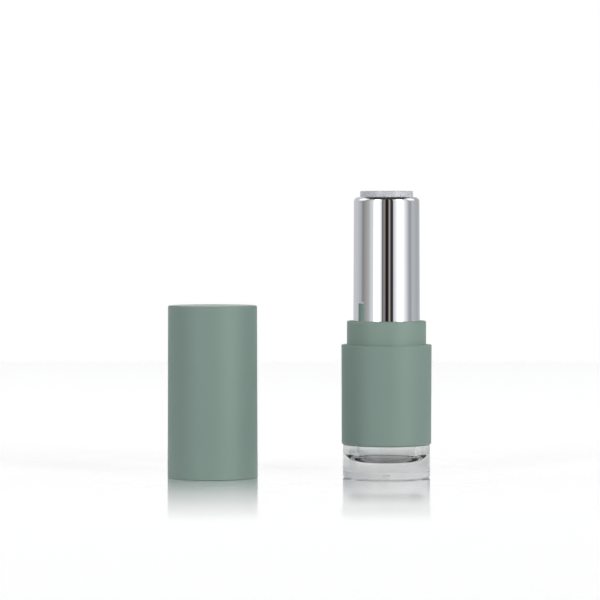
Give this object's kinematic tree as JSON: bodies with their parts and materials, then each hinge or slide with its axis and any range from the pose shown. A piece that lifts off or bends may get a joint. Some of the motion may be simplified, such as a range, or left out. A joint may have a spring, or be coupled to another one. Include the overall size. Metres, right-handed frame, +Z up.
{
  "type": "lip balm stick",
  "caption": "Twist-up lip balm stick with a clear foot, sage-green sleeve and bright barrel, and its cap standing beside it. Turning the barrel raises the balm.",
  "frame": {"origin": "centre of the clear foot's underside, on the surface that the case and the cap stand on", "axes": "+Z up along the case's axis, +X from the cap towards the case, +Y away from the viewer"},
  "size_m": [0.0644, 0.022, 0.0697],
  "materials": {
    "clear_plastic": "polished",
    "soft_touch_green": "matte",
    "satin_green": "satin",
    "pale_plastic": "gloss",
    "bright_metal": "polished",
    "balm": "satin"
  },
  "bodies": {
    "base": {"clear_foot": "clear_plastic", "base_sleeve": "soft_touch_green", "collar": "satin_green", "guide_tube": "pale_plastic"},
    "barrel": {"bright_shell": "bright_metal", "spiral_sleeve": "pale_plastic"},
    "lift": {"lift_cup": "pale_plastic", "balm_stick": "balm"},
    "cap": {"cap_shell": "soft_touch_green", "cap_liner": "pale_plastic"}
  },
  "joints": [
    {"name": "twist", "type": "hinge", "parent": "base", "child": "barrel", "pos_m": [0, 0, 0], "axis": [0, 0, -1], "range_deg": [0, 450]},
    {"name": "balm_rise", "type": "slide", "parent": "base", "child": "lift", "axis": [0, 0, 1], "range_m": [0, 0.0325]},
    {"name": "cap_lift", "type": "slide", "parent": "base", "child": "cap", "axis": [0, 0, 1], "range_m": [0, 0.075]}
  ],
  "couplings": [
    {"joint": "balm_rise", "follows": "twist", "m_per_rad": 0.004138}
  ]
}
